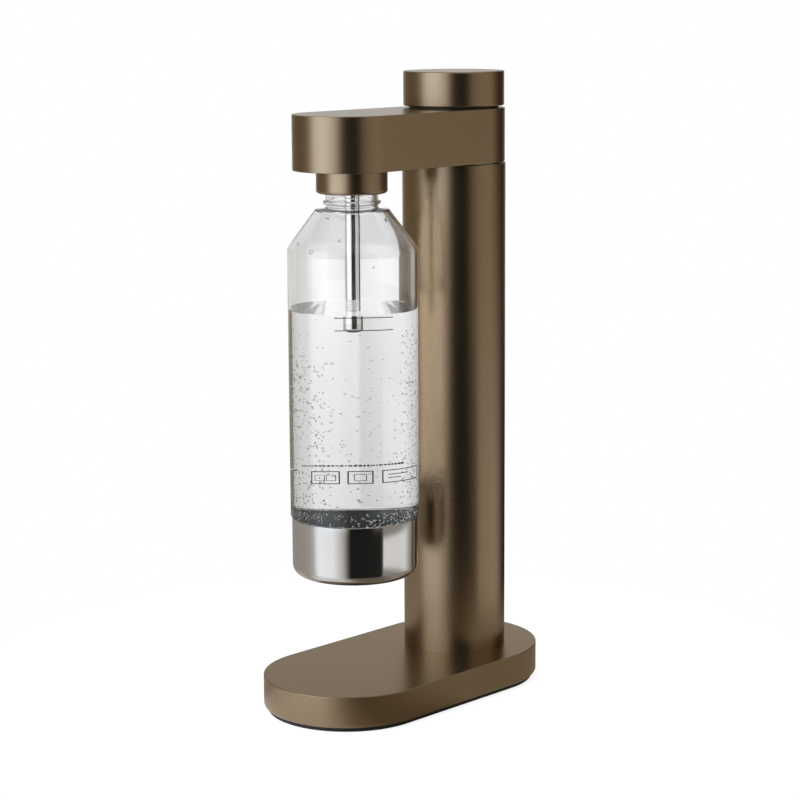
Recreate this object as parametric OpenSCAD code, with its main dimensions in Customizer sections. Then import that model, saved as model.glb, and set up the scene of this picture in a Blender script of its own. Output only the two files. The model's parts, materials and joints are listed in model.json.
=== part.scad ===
// Sparkling water maker: a round-ended base, a column that holds the gas cylinder,
// an arm with the gas head, and a bottle that screws up into a collar under the arm.
// Origin: centre of the base's footprint, on the table. +Z up, bottle towards -Y.

/* [Base] */
// Width of the base, which is also the diameter of its round ends
base_w = 114; // [108:1:130]
// Distance between the centres of the base's two round ends
base_reach = 104.5; // [98:0.5:125]
// Height of the top of the base above the table
base_h = 24; // [22.5:0.5:30]
// Thickness of the rubber sole
sole_t = 2.6; // [2:0.1:3]
// How far the sole is set back from the side of the base
sole_inset = 3; // [1:0.1:4]
// Rounding of the slab's lower edge
slab_foot_r = 2.5; // [0.5:0.1:3]
// Side wall of the base slab
slab_wall = 5; // [4:0.5:6]
// Top wall of the base slab
slab_top_t = 7; // [6:0.5:8]
// Thickness of the cover that closes the base from below
cover_t = 2.5; // [2:0.1:3]
// Thickness of the steel ballast plate
ballast_t = 8; // [5:0.5:9]
// Width of the ballast plate
ballast_w = 78; // [60:1:84]
// Radius of the slab's screw posts
post_r = 4; // [3.5:0.1:4.2]

/* [Column] */
// Outer diameter of the column
column_d = 70; // [70:0.5:72]
// Wall of the column tube
column_wall = 3.5; // [2.5:0.1:4]
// Thickness of the flange that fixes the column under the slab
flange_t = 5; // [4:0.5:6]
// How far the flange's screw lobes reach beyond the tube
flange_w = 9.4; // [9:0.1:10]
// Width of the flange's ring between its lobes
flange_rim = 3; // [2.5:0.1:4]
// Dark gap between the column and the arm
shadow_gap = 0.8; // [0.5:0.1:1.5]
// Length of the spigot that joins the column to the arm
spigot_h = 18; // [12:1:22]
// Bore of that spigot
spigot_bore_d = 44; // [40:1:45]

/* [Gas cylinder] */
// Diameter of the gas cylinder
cylinder_d = 60; // [58:0.5:61]
// Length of the gas cylinder with its valve
cylinder_len = 354.7; // [320:0.1:380]
// Wall of the gas cylinder
cylinder_wall = 4; // [3:0.5:5]
// Height of the domed shoulder of the cylinder
dome_h = 26; // [22:1:27]
// Diameter of the cylinder's neck
neck_boss_d = 28; // [26:0.5:30]
// Diameter of the valve's thread
valve_d = 21; // [20:0.5:22]
// Length of the valve's threaded stem
valve_stem_h = 18; // [16:0.5:20]
// Width across the corners of the valve's hexagon
valve_hex_d = 30; // [28:0.5:32]
// Diameter of the valve's pin
pin_d = 4; // [3:0.1:4.5]

/* [Cylinder hatch] */
// Diameter of the hatch under the cylinder
hatch_d = 62.4; // [62:0.1:63]
// Thickness of the hatch
hatch_t = 5; // [4.5:0.1:5]
// Thickness of the foam pad on the hatch
pad_t = 3; // [2:0.5:4]
// Number of bayonet lugs on the hatch
lug_count = 3; // [2:1:4]
// Angle that one lug covers
lug_angle = 24; // [16:1:28]
// Turn that frees the hatch
hatch_turn_angle = 35; // [32:1:40]

/* [Arm] */
// Diameter of the arm's round ends
arm_d = 69; // [68:0.5:70]
// Height of the arm
arm_h = 35.8; // [34:0.1:42]
// Distance from the column's axis to the centre of the arm's front end
arm_reach = 102.8; // [95:0.1:115]
// Wall of the arm's shell
arm_wall = 2.5; // [2:0.1:3]
// Top wall of the arm's shell
arm_top_t = 3; // [2.5:0.1:4]
// Thickness of the plate that closes the arm from below
floor_t = 3; // [2.5:0.1:3.5]
// How far that plate is recessed in the shell
floor_recess = 0.5; // [0.3:0.1:1]

/* [Button] */
// Diameter of the button
cap_d = 68; // [66:0.5:69]
// Height of the button
cap_h = 23; // [20:0.5:28]
// Side wall of the button
cap_wall = 4; // [3:0.1:5]
// Top wall of the button
cap_top_t = 3; // [2.5:0.1:4]
// Gap between the button and the arm
press_gap = 1.5; // [1.3:0.1:2.5]
// Rounding of the button's edges
cap_edge_r = 0.9; // [0.5:0.1:1.5]
// Diameter of the plunger
plunger_d = 6; // [5.5:0.1:6.5]
// Wire of the button's spring
spring_wire = 1.4; // [1:0.1:1.6]
// Number of turns of the button's spring
spring_turns = 5; // [4:1:6]

/* [Bottle] */
// Distance from the column's axis to the bottle's axis
bottle_reach = 97.4; // [90:0.1:104]
// Outer diameter of the bottle
bottle_d = 85; // [80:0.2:88]
// Wall of the bottle
bottle_wall = 1.5; // [1.2:0.1:2]
// Height of the straight body above the steel cup
body_h = 177.6; // [150:0.2:178]
// Height of the conical shoulder
shoulder_h = 24.5; // [22:0.5:30]
// Diameter of the flat ring at the top of the shoulder
shoulder_d = 48; // [46:0.2:52]
// Height of the neck above the shoulder
neck_h = 21.1; // [20:0.1:24]
// Outer diameter of the neck
neck_d = 34.2; // [33.6:0.1:34.4]
// Wall of the neck
neck_wall = 2.4; // [2:0.1:2.6]
// Diameter of the neck's support bead
bead_d = 37.5; // [37:0.1:39]
// Height of the bead
bead_h = 2.5; // [2:0.1:3]
// Lift of the bead's underside above the shoulder
bead_lift = 3.5; // [3:0.1:4]
// Diameter of the steel cup
cup_d = 83.2; // [80:0.2:84]
// Height of the steel cup
cup_h = 40.5; // [30:0.1:42]
// Wall of the steel cup
cup_wall = 0.8; // [0.6:0.1:1]
// Radius of the cup's lower corner
cup_corner_r = 7; // [6:0.5:10]
// Thickness of the rubber foot ring under the cup
cup_foot_t = 1.2; // [0.8:0.1:2]

/* [Collar and nozzle] */
// Diameter of the collar
collar_d = 46.4; // [46:0.2:50]
// Height of the collar below the arm
collar_h = 15.2; // [14.6:0.1:18]
// Rounding of the collar's lower edge
collar_edge_r = 2; // [1:0.1:2]
// Bore that the neck's threads turn in
thread_bore_d = 38; // [37.8:0.1:38.2]
// Axial advance of the neck's thread in one turn
thread_lead = 16; // [14:0.5:18]
// Number of thread starts
thread_starts = 4; // [3:1:4]
// Thickness of a thread lug
lug_t = 1.5; // [1.2:0.1:1.5]
// Angle that one thread lug covers
thread_lug_angle = 40; // [25:1:45]
// Thickness of the silicone seal
seal_t = 2.9; // [2.5:0.1:3.5]
// Diameter of the carbonation tube
tube_d = 10; // [8:0.1:11]
// Bore of the carbonation tube
tube_bore_d = 7.2; // [4:0.1:7.4]
// Length of the tube and its tip below the arm
tube_drop = 104.8; // [80:0.1:140]
// Length of the nozzle tip
tip_h = 6; // [5:0.5:12]
// Diameter of the gas pipe in the arm
pipe_d = 4; // [3:0.1:4.4]

/* [Hidden] */

$fn = 96;
// Radial clearance of located and sliding fits
fit = 0.05;
// Gap between faces of pieces that move past each other
air = 0.3;
// Overrun of a cut past the face that it opens
over = 1;
// Rounding of the edges of arm and column, and of the slab's upper edge
edge_r = 0.5;

bronze = [0.42, 0.34, 0.25];
dark = [0.12, 0.12, 0.12];
steel = [0.78, 0.78, 0.78];
brass = [0.75, 0.6, 0.3];
clear = [0.85, 0.92, 0.95, 0.35];

// Places in plan
column_y = base_reach / 2;
front_y = -base_reach / 2;
arm_front_y = column_y - arm_reach;
bottle_y = column_y - bottle_reach;

// Heights, from the table up
slab_ceiling = base_h - slab_top_t;
tube_bottom = slab_ceiling - flange_t;
hatch_z = sole_t - 0.6;
pad_z = hatch_z + hatch_t;
cylinder_z = pad_z + pad_t + air;
valve_top = cylinder_z + cylinder_len;
valve_lift = 2.4;
arm_z = valve_top - valve_lift - floor_t - floor_recess;
column_top = arm_z - shadow_gap;
floor_z = arm_z + floor_recess;
floor_top = floor_z + floor_t;
arm_top = arm_z + arm_h;
arm_ceiling = arm_top - arm_top_t;
cap_z = arm_top + press_gap;
cap_top = cap_z + cap_h;

// Base
slab_r = base_w / 2;
pocket_r = slab_r - slab_wall;
post_ring_r = pocket_r - post_r - 1;
screw_r = 1.5;
screw_head_r = 2.9;
screw_head_h = 2.5;
// Recess of a sunk screw, and the flat head in it
sunk_depth = 1.5;
sunk_head_h = 1.4;
// How deep screws reach into the slab's top, into posts and into the spigot
slab_bite = 4;
post_bite = 8;
spigot_bite = 10;
ballast_gap = 3;

// Column
column_r = column_d / 2;
column_bore_r = column_r - column_wall;
flange_r = column_r + flange_w;
lobe_r = screw_head_r + 1.2;
flange_screw_ring_r = flange_r - lobe_r;
spigot_z = column_top - spigot_h;
spigot_r = column_bore_r - fit;
// The spigot's top stands in the arm, so it follows the arm's bore
arm_bore_r = arm_d / 2 - arm_wall;
spigot_top_r = arm_bore_r - 1;
// Rings that guide the cylinder: their height and their distance from base and dome
guide_ring_h = 12;
guide_lift = 20;
guide_drop = 30;
lower_guide_z = base_h + guide_lift;

// Bayonet ring of the hatch
hatch_r = hatch_d / 2;
lug_reach = 3;
lug_h = 1.4;
lug_z = hatch_z + hatch_t - lug_h - air;
ring_bore_r = hatch_r + air;
ring_r = ring_bore_r + lug_reach + 2.4;
ring_top = pad_z + 2;

// Gas cylinder, measured from its foot up
cylinder_r = cylinder_d / 2;
hex_h = 6;
neck_boss_h = 8;
stem_z = valve_top - valve_stem_h;
hex_z = stem_z - hex_h;
shoulder_z = hex_z - neck_boss_h - dome_h;
upper_guide_z = shoulder_z - guide_drop;
cylinder_floor_t = 6;
cylinder_bore_r = neck_boss_d / 2 - 5;
valve_foot_h = 14;
valve_foot_z = hex_z - valve_foot_h;
valve_r = valve_d / 2;
pin_r = pin_d / 2;
pin_hole_r = pin_r + fit;
pin_h = 12;

// Gas head over the cylinder
gasket_t = 2;
block_r = valve_r + 5.4;
block_flange_r = 22;
block_flange_t = 4.5;
block_ring_r = (block_r + block_flange_r) / 2;
// The spigot's screws stand just outside the block's flange
spigot_screw_ring_r = block_flange_r + screw_head_r + air;
gasket_top = valve_top + gasket_t;
block_h = 14;
block_top = gasket_top + block_h;
pipe_lift = 5.5;
pipe_z = gasket_top + pipe_lift;
// How far the pipe enters its ports, their depth, and the gap under its nuts
pipe_bite = 3;
port_depth = 4;
nut_gap = 0.5;
plunger_r = plunger_d / 2;
tip_r = 1.8;
plunger_step_z = pipe_z + 2.5;
seal_seat_z = plunger_step_z + 1.5;
seal_wire_r = 1;
gland_r = 8;
gland_stem_r = 6;
gland_head_h = 3;
gland_z = seal_seat_z + 2 * seal_wire_r + 0.1;

// Button
cap_r = cap_d / 2;
cap_bore_r = cap_r - cap_wall;
cap_ceiling = cap_top - cap_top_t;
web_z = arm_top + 2;
web_t = 3;
web_top = web_z + web_t;
guide_wall = 4;
guide_h = 15;
stop_r = 5;
stop_h = 2.4;
boss_r = 6;
boss_h = 7.5;
plunger_hole_r = 6.5;
guide_screw_ring_r = 17;
spring_r = boss_r + 2 + spring_wire;
tenon_r = plunger_r - 0.5;

// Bottle, measured from the seal down
seal_top = floor_z - 2;
seal_z = seal_top - seal_t;
neck_top = seal_z - air;
shoulder_top = neck_top - neck_h;
shoulder_foot = shoulder_top - shoulder_h;
cup_rim = shoulder_foot - body_h - 0.5;
cup_z = cup_rim - cup_h;
neck_r = neck_d / 2;
neck_bore_r = neck_r - neck_wall;
bottle_r = bottle_d / 2;
cup_r = cup_d / 2;
bottle_foot_r = cup_r - cup_wall - fit;
bottle_foot_z = cup_z + 3.5;
shoulder_corner_r = 8;
foot_corner_r = 10;
foot_ring_r = 20;
punt_h = 9;
lug_chamfer = 0.3;
cup_foot_inset = 4.6;
cup_foot_w = 12;

// Collar and nozzle
collar_z = arm_z - collar_h;
collar_r = collar_d / 2;
insert_bore_r = thread_bore_d / 2;
insert_r = insert_bore_r + 2;
insert_flange_r = insert_r + 6;
insert_flange_t = 2.5;
insert_flange_top = floor_top + insert_flange_t;
lip_h = 1.4;
insert_z = collar_z + lip_h;
helix_angle = atan(thread_lead / (2 * PI * neck_r));
neck_lug_z = neck_top - 3.9;
insert_lug_z = neck_lug_z - lug_t - air;
collar_lip_r = insert_bore_r + 0.4;
seal_r = neck_r + 0.6;
nozzle_ring_r = (insert_r + insert_flange_r) / 2;
nozzle_flange_t = 3.5;
nozzle_flange_top = insert_flange_top + nozzle_flange_t;
nozzle_body_r = 13;
nozzle_cover = 6;
nozzle_top = pipe_z + nozzle_cover;
nozzle_boss_gap = 2.7;
nozzle_boss_r = neck_bore_r - nozzle_boss_gap;
nozzle_boss_h = 5.2;
tube_r = tube_d / 2;
tube_end = arm_z - tube_drop + tip_h;
tube_socket = 6;
gas_hole_r = 1.5;
relief_r = 7.5;
relief_h = 8;
relief_wall = 1.5;
relief_lid_t = 1.6;
poppet_r = 3.2;
poppet_h = 1.6;
poppet_stem_r = 1.2;
poppet_rise = 2;
relief_wire_r = 0.35;
relief_spring_r = poppet_stem_r + 1.2;
vent_r = 0.8;
tip_plug_h = 5;
jet_r = 0.6;

// Half of an upright section, from the axis out to r, with rounded outer corners
module edge_profile(r, z0, z1, top_r, bottom_r) {
    difference() {
        translate([0, z0]) square([r, z1 - z0]);
        translate([r, z1]) corner_cut(top_r, -1);
        translate([r, z0]) corner_cut(bottom_r, 1);
    }
}

// What is cut from an outer corner to leave a radius; side is 1 for a lower corner
module corner_cut(radius, side) {
    difference() {
        translate([-radius, side > 0 ? -over : -radius]) square(radius + over);
        translate([-radius, side * radius]) circle(radius);
    }
}

// Round-ended bar with rounded edges
module rounded_bar(r, z0, z1, y0, y1, top_r, bottom_r) {
    translate([0, y1, 0]) rotate_extrude(angle = 180) edge_profile(r, z0, z1, top_r, bottom_r);
    translate([0, y0, 0]) rotate([0, 0, 180]) rotate_extrude(angle = 180)
        edge_profile(r, z0, z1, top_r, bottom_r);
    translate([0, y1, 0]) rotate([90, 0, 0]) linear_extrude(y1 - y0) {
        edge_profile(r, z0, z1, top_r, bottom_r);
        mirror([1, 0]) edge_profile(r, z0, z1, top_r, bottom_r);
    }
}

// Round-ended bar with sharp edges
module bar(r, z0, z1, y0, y1) {
    for (end = [y0, y1]) translate([0, end, z0]) cylinder(r = r, h = z1 - z0);
    translate([-r, y0, z0]) cube([2 * r, y1 - y0, z1 - z0]);
}

// Upright cylinder between two heights
module post(r, z0, z1) {
    translate([0, 0, z0]) cylinder(r = r, h = z1 - z0);
}

// Upright ring between two heights
module ring(r_out, r_in, z0, z1) {
    difference() {
        post(r_out, z0, z1);
        post(r_in, z0 - over, z1 + over);
    }
}

module at_column() {
    translate([0, column_y, 0]) children();
}

module at_bottle() {
    translate([0, bottle_y, 0]) children();
}

// Copies at equal angles on a circle, the first at angle start
module around(count, radius, start = 0) {
    for (i = [0 : count - 1]) rotate([0, 0, start + i * 360 / count]) translate([radius, 0, 0]) children();
}

// Screw standing on its head: head below z, shank up into the work
module screw_up(z, head_h, shank) {
    post(screw_head_r, z - head_h, z);
    post(screw_r, z, z + shank);
}

// Screw seen from above: head on top of z, shank down
module screw_down(z, head_h, shank) {
    post(screw_head_r, z, z + head_h);
    post(screw_r, z - shank, z);
}

// Positions of the posts that take the cover's screws
module cover_posts() {
    for (side = [-1, 1]) {
        translate([side * post_ring_r, 0, 0]) children();
        translate([side * post_ring_r * sqrt(0.5), front_y - post_ring_r * sqrt(0.5), 0]) children();
        translate([side * post_ring_r * sqrt(0.5), column_y + post_ring_r * sqrt(0.5), 0]) children();
    }
}

// Positions of the ballast's screws
module ballast_holes() {
    for (side = [-1, 1]) translate([side * ballast_w / 4, front_y / 2, 0]) children();
}

// Angle of the first of three screws, where they stand clear of the pipe
tri_start = 30;

// Circles of screws: in the flange, in the spigot, in the gas head's block, in the nozzle
// block and in the button's guide
module flange_holes() {
    around(4, flange_screw_ring_r) children();
}

module spigot_holes() {
    around(4, spigot_screw_ring_r, 45) children();
}

module block_holes() {
    around(3, block_ring_r, 90) children();
}

module nozzle_holes() {
    around(3, nozzle_ring_r, tri_start) children();
}

module guide_holes() {
    around(3, guide_screw_ring_r, tri_start) children();
}

module base_slab() {
    color(bronze) difference() {
        union() {
            difference() {
                rounded_bar(slab_r, sole_t, base_h, front_y, column_y, edge_r, slab_foot_r);
                bar(pocket_r, sole_t - over, slab_ceiling, front_y, column_y);
            }
            cover_posts() post(post_r, sole_t + cover_t, slab_ceiling + over);
        }
        at_column() {
            post(column_r + fit, sole_t, base_h + over);
            flange_holes() post(screw_r + fit, slab_ceiling - over, slab_ceiling + slab_bite + over);
        }
        cover_posts() post(screw_r + fit, sole_t, sole_t + cover_t + post_bite + over);
        ballast_holes() post(screw_r + fit, slab_ceiling - over, slab_ceiling + slab_bite + over);
    }
}

module base_sole() {
    color(dark) difference() {
        bar(slab_r - sole_inset, 0, sole_t, front_y, column_y);
        at_column() post(ring_r + 1, -over, sole_t + over);
    }
}

module base_cover() {
    color(dark) difference() {
        union() {
            bar(pocket_r - fit, sole_t, sole_t + cover_t, front_y, column_y);
            at_column() post(ring_r, sole_t, ring_top);
        }
        at_column() {
            post(ring_bore_r, sole_t - over, ring_top + over);
            bayonet_slots();
        }
        cover_posts() {
            post(screw_r + fit, sole_t - over, sole_t + cover_t + over);
            post(screw_head_r + fit, sole_t - over, sole_t + sunk_depth);
        }
    }
}

// Slot that each lug enters from below and then turns along, past the closed place
module bayonet_slots() {
    spare = 2;
    slot_r = hatch_r + lug_reach + air;
    for (i = [0 : lug_count - 1]) rotate([0, 0, i * 360 / lug_count]) {
        rotate([0, 0, -lug_angle / 2 - hatch_turn_angle - spare])
            rotate_extrude(angle = lug_angle + hatch_turn_angle + 2 * spare)
                translate([hatch_r, lug_z - air]) square([slot_r - hatch_r, lug_h + 2 * air]);
        rotate([0, 0, -lug_angle / 2 - hatch_turn_angle - spare])
            rotate_extrude(angle = lug_angle + 2 * spare)
                translate([hatch_r, sole_t - over]) square([slot_r - hatch_r, lug_z - sole_t + over]);
    }
}

module cover_screws() {
    color(steel) cover_posts() screw_up(sole_t + sunk_depth, sunk_head_h, cover_t - sunk_depth + post_bite);
}

module ballast() {
    color(steel) difference() {
        bar(ballast_w / 2, slab_ceiling - ballast_t, slab_ceiling, front_y, column_y);
        at_column() post(flange_r + ballast_gap, 0, base_h);
        ballast_holes() post(screw_r + fit, 0, base_h);
    }
}

module ballast_screws() {
    color(steel) ballast_holes() screw_up(slab_ceiling - ballast_t, sunk_head_h, ballast_t + slab_bite);
}

module column_tube() {
    color(bronze) at_column() rotate_extrude() difference() {
        edge_profile(column_r, tube_bottom, column_top, edge_r, 0);
        translate([0, tube_bottom - over]) square([column_bore_r, column_top - tube_bottom + 2 * over]);
    }
}

module column_flange() {
    color(steel) at_column() difference() {
        union() {
            post(column_r + flange_rim, tube_bottom, slab_ceiling);
            flange_holes() post(lobe_r, tube_bottom, slab_ceiling);
        }
        post(column_r + fit, tube_bottom - over, slab_ceiling + over);
        flange_holes() post(screw_r + fit, tube_bottom - over, slab_ceiling + over);
    }
}

module flange_screws() {
    color(steel) at_column() flange_holes() screw_up(tube_bottom, screw_head_h, flange_t + slab_bite);
}

module column_spigot() {
    color(steel) at_column() difference() {
        rotate_extrude() polygon([
            [spigot_bore_d / 2, spigot_z], [spigot_r, spigot_z], [spigot_r, column_top],
            [spigot_top_r, column_top], [spigot_top_r, floor_z], [spigot_bore_d / 2, floor_z]
        ]);
        spigot_holes() post(screw_r + fit, floor_z - spigot_bite - over, floor_z + over);
    }
}

module spigot_screws() {
    color(steel) at_column() spigot_holes() screw_down(floor_top, screw_head_h, floor_t + spigot_bite);
}

// Two plastic rings that keep the cylinder off the column's wall
module cylinder_guide() {
    color(dark) at_column() {
        for (z = [lower_guide_z, upper_guide_z])
            ring(column_bore_r - fit, cylinder_r + fit, z, z + guide_ring_h);
    }
}

// Outline of the cylinder's dome, an ellipse quarter from the side to the neck
function dome(r_side, r_neck, z_side, height, steps = 12) = [
    for (i = [0 : steps]) [
        r_neck + (r_side - r_neck) * cos(90 * i / steps),
        z_side + height * sin(90 * i / steps)
    ]
];

module gas_cylinder() {
    inner_r = cylinder_r - cylinder_wall;
    foot_r = 5;
    inner_z = cylinder_z + cylinder_floor_t;
    crown_z = shoulder_z + dome_h - cylinder_wall;
    color([0.55, 0.56, 0.58]) at_column() rotate_extrude() difference() {
        union() {
            edge_profile(cylinder_r, cylinder_z, shoulder_z, 0, foot_r);
            polygon(concat([[0, shoulder_z - over], [cylinder_r, shoulder_z - over]],
                dome(cylinder_r, neck_boss_d / 2, shoulder_z, dome_h), [[0, shoulder_z + dome_h]]));
            translate([0, shoulder_z]) square([neck_boss_d / 2, hex_z - shoulder_z]);
        }
        polygon(concat([[0, inner_z], [inner_r - foot_r, inner_z], [inner_r, inner_z + foot_r]],
            dome(inner_r, cylinder_bore_r, shoulder_z, dome_h - cylinder_wall), [[0, crown_z]]));
        translate([0, crown_z - over]) square([cylinder_bore_r, hex_z - crown_z + 2 * over]);
    }
}

module cylinder_valve() {
    color(brass) at_column() difference() {
        union() {
            post(cylinder_bore_r - fit, valve_foot_z, hex_z);
            translate([0, 0, hex_z]) cylinder(d = valve_hex_d, h = hex_h, $fn = 6);
            rotate_extrude() edge_profile(valve_r, stem_z, valve_top, 1, 0);
        }
        post(pin_hole_r, valve_top - pin_h - 2, valve_top + over);
        post(gas_hole_r, valve_foot_z - over, valve_top);
    }
}

module valve_pin() {
    color(steel) at_column() post(pin_r, valve_top - pin_h, valve_top - air);
}

module cylinder_hatch() {
    grip_w = 10;
    grip_depth = 3.2;
    color(dark) at_column() {
        difference() {
            rotate_extrude() edge_profile(hatch_r, hatch_z, pad_z, 0, 0.6);
            for (side = [-1, 1]) intersection() {
                post(hatch_r - 8, hatch_z - over, hatch_z + grip_depth);
                translate([side > 0 ? grip_w / 2 : -hatch_r, -hatch_r, hatch_z - over])
                    cube([hatch_r - grip_w / 2, 2 * hatch_r, hatch_t]);
            }
        }
        for (i = [0 : lug_count - 1]) rotate([0, 0, i * 360 / lug_count - lug_angle / 2])
            rotate_extrude(angle = lug_angle) translate([hatch_r - 1, lug_z]) square([lug_reach + 1, lug_h]);
    }
}

module hatch_pad() {
    color([0.3, 0.3, 0.3]) at_column() post(cylinder_r - 6, pad_z, pad_z + pad_t);
}

module arm_shell() {
    color(bronze) difference() {
        union() {
            difference() {
                rounded_bar(arm_d / 2, arm_z, arm_top, arm_front_y, column_y, edge_r, edge_r);
                bar(arm_bore_r, arm_z - over, arm_ceiling, arm_front_y, column_y);
            }
            arm_posts() post(post_r, floor_top, arm_ceiling + over);
        }
        arm_posts() post(screw_r + fit, floor_top - over, floor_top + post_bite + over);
        at_column() {
            post(plunger_hole_r, arm_ceiling - over, arm_top + over);
            guide_holes() post(screw_r + fit, arm_ceiling - over, arm_top + over);
        }
    }
}

// Posts that take the two screws of the arm's floor
module arm_posts() {
    for (side = [-1, 1]) translate([side * arm_d / 3.2, (column_y + bottle_y) / 2, 0]) children();
}

module arm_floor() {
    color(bronze) difference() {
        bar(arm_bore_r - fit, floor_z, floor_top, arm_front_y, column_y);
        at_column() {
            post(block_r + fit, floor_z - over, floor_top + over);
            spigot_holes() post(screw_r + fit, floor_z - over, floor_top + over);
            block_holes() post(screw_r + fit, floor_z - over, floor_top + over);
        }
        at_bottle() {
            post(insert_r + fit, floor_z - over, floor_top + over);
            nozzle_holes() post(screw_r + fit, floor_z - over, floor_top + over);
        }
        arm_posts() {
            post(screw_r + fit, floor_z - over, floor_top + over);
            post(screw_head_r + fit, floor_z - over, floor_z + sunk_depth);
        }
    }
}

module arm_screws() {
    color(steel) arm_posts() screw_up(floor_z + sunk_depth, sunk_head_h, floor_t - sunk_depth + post_bite);
}

module valve_block() {
    color(brass) at_column() difference() {
        union() {
            post(block_r, stem_z + 0.5, block_top);
            post(block_flange_r, floor_top, floor_top + block_flange_t);
        }
        post(valve_r + fit, stem_z, gasket_top);
        post(plunger_r + fit, gasket_top - over, block_top + over);
        post(gland_stem_r + fit, seal_seat_z, block_top + over);
        block_holes() {
            post(screw_r + fit, floor_top - over, floor_top + block_flange_t + over);
            post(screw_head_r + fit, floor_top + block_flange_t, block_top + over);
        }
        rotate([0, 0, -90]) pipe_port(block_r);
    }
}

// Hole for the pipe along +X from the axis to the face at radius r
module pipe_port(r) {
    translate([0, 0, pipe_z]) rotate([0, 90, 0]) {
        cylinder(r = gas_hole_r, h = r);
        translate([0, 0, r - port_depth]) cylinder(r = pipe_d / 2 + fit, h = port_depth + over);
    }
}

module valve_gasket() {
    color(dark) at_column() ring(valve_r - 0.3, 4, valve_top, gasket_top);
}

module plunger_seal() {
    color(dark) at_column() rotate_extrude()
        translate([plunger_r + fit + seal_wire_r, seal_seat_z + seal_wire_r]) circle(seal_wire_r);
}

module plunger_gland() {
    color(brass) at_column() difference() {
        union() {
            post(gland_stem_r, gland_z, block_top);
            translate([0, 0, block_top]) cylinder(r = gland_r, h = gland_head_h, $fn = 6);
        }
        post(plunger_r + fit, gland_z - over, block_top + gland_head_h + over);
    }
}

module head_screws() {
    color(steel) {
        at_column() block_holes()
            screw_down(floor_top + block_flange_t, screw_head_h, block_flange_t + floor_t);
        at_bottle() nozzle_holes()
            screw_down(nozzle_flange_top, screw_head_h, nozzle_flange_t + insert_flange_t + floor_t);
    }
}

module gas_pipe() {
    y0 = bottle_y + nozzle_body_r - pipe_bite;
    y1 = column_y - block_r + pipe_bite;
    color(steel) translate([0, y1, pipe_z]) rotate([90, 0, 0]) difference() {
        cylinder(d = pipe_d, h = y1 - y0);
        translate([0, 0, -over]) cylinder(r = pipe_d / 4, h = y1 - y0 + 2 * over);
    }
}

module pipe_nuts() {
    nut_r = 4.2;
    nut_h = 7;
    color(brass) for (y = [bottle_y + nozzle_body_r + nut_h + nut_gap, column_y - block_r - nut_gap])
        translate([0, y, pipe_z]) rotate([90, 0, 0]) difference() {
            cylinder(r = nut_r, h = nut_h, $fn = 6);
            translate([0, 0, -over]) cylinder(r = pipe_d / 2 + fit, h = nut_h + 2 * over);
        }
}

module nozzle_block() {
    color([0.2, 0.2, 0.2]) at_bottle() difference() {
        union() {
            post(nozzle_boss_r, seal_top - nozzle_boss_h, seal_top + over);
            post(insert_bore_r - fit, seal_top, insert_flange_top);
            post(insert_flange_r, insert_flange_top, nozzle_flange_top);
            post(nozzle_body_r, nozzle_flange_top, nozzle_top);
        }
        post(tube_r + fit, seal_top - nozzle_boss_h - over, seal_top + tube_socket);
        post(gas_hole_r, seal_top, nozzle_top + over);
        nozzle_holes() post(screw_r + fit, insert_flange_top - over, nozzle_flange_top + over);
        rotate([0, 0, 90]) pipe_port(nozzle_body_r);
    }
}

module relief_body() {
    color(brass) at_bottle() difference() {
        post(relief_r, nozzle_top, nozzle_top + relief_h);
        post(relief_r - relief_wall, nozzle_top - over, nozzle_top + relief_h - relief_lid_t);
        post(poppet_stem_r + fit, nozzle_top, nozzle_top + relief_h + over);
        around(4, relief_r, 45) translate([0, 0, nozzle_top + 2]) rotate([0, 90, 0])
            cylinder(r = vent_r, h = 2 * relief_wall + over, center = true);
    }
}

module relief_poppet() {
    color(steel) at_bottle() {
        post(poppet_r, nozzle_top + fit, nozzle_top + poppet_h);
        post(poppet_stem_r, nozzle_top + poppet_h, nozzle_top + relief_h + poppet_rise);
    }
}

// Points of a ring of the spring's wire, and the whole wire as one skin
function wire_ring(r, wire_r, angle, z, sides) = [
    for (k = [0 : sides - 1]) let (a = 360 * k / sides) [
        (r + wire_r * cos(a)) * cos(angle), (r + wire_r * cos(a)) * sin(angle), z + wire_r * sin(a)
    ]
];

module coil_spring(r, wire_r, z0, z1, turns, sides = 8, steps = 20) {
    rings = turns * steps;
    bottom = z0 + wire_r;
    rise = z1 - z0 - 2 * wire_r;
    points = [for (i = [0 : rings])
        each wire_ring(r, wire_r, 360 * i / steps, bottom + rise * i / rings, sides)];
    skin = [for (i = [0 : rings - 1], k = [0 : sides - 1]) let (n = (k + 1) % sides) each [
        [i * sides + k, i * sides + n, (i + 1) * sides + k],
        [i * sides + n, (i + 1) * sides + n, (i + 1) * sides + k]
    ]];
    first = [for (k = [1 : sides - 2]) [0, k + 1, k]];
    last = [for (k = [1 : sides - 2]) [rings * sides, rings * sides + k, rings * sides + k + 1]];
    polyhedron(points, concat(skin, first, last));
}

module relief_spring() {
    color(steel) at_bottle() coil_spring(relief_spring_r, relief_wire_r, nozzle_top + poppet_h,
        nozzle_top + relief_h - relief_lid_t, 4, 6, 12);
}

// One thread lug from its root to its narrower crest: an arc of a ring, tilted along the helix
module thread_lug(root_r, crest_r, z) {
    translate([0, 0, z]) rotate([helix_angle, 0, 0]) rotate([0, 0, -thread_lug_angle / 2])
        rotate_extrude(angle = thread_lug_angle) polygon([
            [root_r, -lug_t / 2], [crest_r, lug_chamfer - lug_t / 2],
            [crest_r, lug_t / 2 - lug_chamfer], [root_r, lug_t / 2]
        ]);
}

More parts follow.
